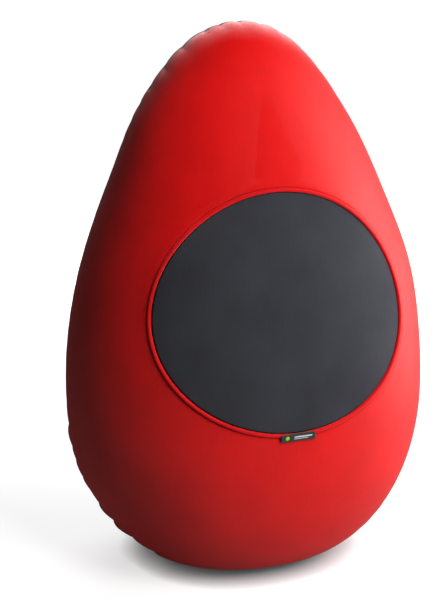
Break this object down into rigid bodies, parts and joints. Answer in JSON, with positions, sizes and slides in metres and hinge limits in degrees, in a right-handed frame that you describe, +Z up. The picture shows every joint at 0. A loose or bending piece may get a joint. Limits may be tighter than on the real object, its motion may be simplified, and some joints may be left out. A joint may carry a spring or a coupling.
{
  "type": "bean bag chair",
  "caption": "Upright egg-shaped bean bag chair with a round seat panel set in the front, a piped seam, zipped cover and bead-filled liner.",
  "frame": {"origin": "on the floor under the middle of the body", "axes": "+Z up, -Y is the front with the seat panel, +X is the right side seen from the front"},
  "size_m": [0.8, 0.7413, 1.2],
  "materials": {
    "red_stretch_fabric": "dense red warp-knit stretch fabric with a soft satin sheen",
    "charcoal_seat_fabric": "charcoal matte panel fabric with a very fine weave",
    "charcoal_cover_fabric": "charcoal stretch fabric of the back",
    "base_fabric": "hard-wearing black base fabric",
    "binding_tape": "woven binding tape",
    "red_thread": "polyester sewing thread",
    "charcoal_thread": "polyester sewing thread",
    "zip_tape": "woven zip tape",
    "liner_zip_tape": "woven zip tape",
    "zip_nylon": "nylon coil",
    "zip_metal": "gunmetal plated zinc",
    "label_ribbon": "woven damask ribbon",
    "care_label_satin": "white satin ribbon",
    "piping_cord": "twisted cotton cord",
    "polystyrene_beads": "expanded polystyrene beads",
    "liner_fabric": "white non-woven liner"
  },
  "bodies": {
    "chair": {"front_panel": "red_stretch_fabric", "seat_panel": "charcoal_seat_fabric", "seat_piping_sleeve": "red_stretch_fabric", "seat_piping_cord": "piping_cord", "seat_topstitch": "red_thread", "back_panel": "charcoal_cover_fabric", "back_skirt_panel": "charcoal_cover_fabric", "base_panel": "base_fabric", "side_seam_binding": "binding_tape", "base_seam_binding": "binding_tape", "zip_facing_left": "charcoal_cover_fabric", "zip_facing_right": "charcoal_cover_fabric", "zip_tape_upper": "zip_tape", "zip_tape_lower": "zip_tape", "zip_coil_upper": "zip_nylon", "zip_coil_lower": "zip_nylon", "zip_stops": "zip_metal", "zip_topstitch": "charcoal_thread", "care_label": "care_label_satin", "liner_front": "liner_fabric", "liner_back": "liner_fabric", "liner_skirt": "liner_fabric", "liner_base": "liner_fabric", "liner_zip_facing_left": "liner_fabric", "liner_zip_facing_right": "liner_fabric", "liner_zip_tape_upper": "liner_zip_tape", "liner_zip_tape_lower": "liner_zip_tape", "liner_zip_coil_upper": "zip_nylon", "liner_zip_coil_lower": "zip_nylon", "liner_zip_stops": "zip_metal", "bead_filling": "polystyrene_beads"},
    "slider": {"zip_slider": "zip_metal"},
    "pull": {"zip_pull": "zip_metal"},
    "label": {"side_label": "label_ribbon"},
    "liner_slider": {"liner_zip_slider": "zip_metal"}
  },
  "joints": [
    {"name": "zip_slider_travel", "type": "hinge", "parent": "chair", "child": "slider", "pos_m": [0, -0.05595, 0.21], "axis": [0, 0, 1], "range_deg": [0, 67]},
    {"name": "zip_pull_swing", "type": "hinge", "parent": "slider", "child": "pull", "pos_m": [0.22073, 0.27706, 0.20843], "axis": [0.8335, -0.5525, 0], "range_deg": [-22, 140]},
    {"name": "side_label_lift", "type": "hinge", "parent": "chair", "child": "label", "pos_m": [0.00946, -0.37355, 0.39953], "axis": [-0.9993, -0.0103, -0.037], "range_deg": [0, 115]},
    {"name": "liner_zip_slider_travel", "type": "hinge", "parent": "chair", "child": "liner_slider", "pos_m": [0, -0.05974, 0.31], "axis": [0, 0, 1], "range_deg": [0, 66.9]}
  ]
}
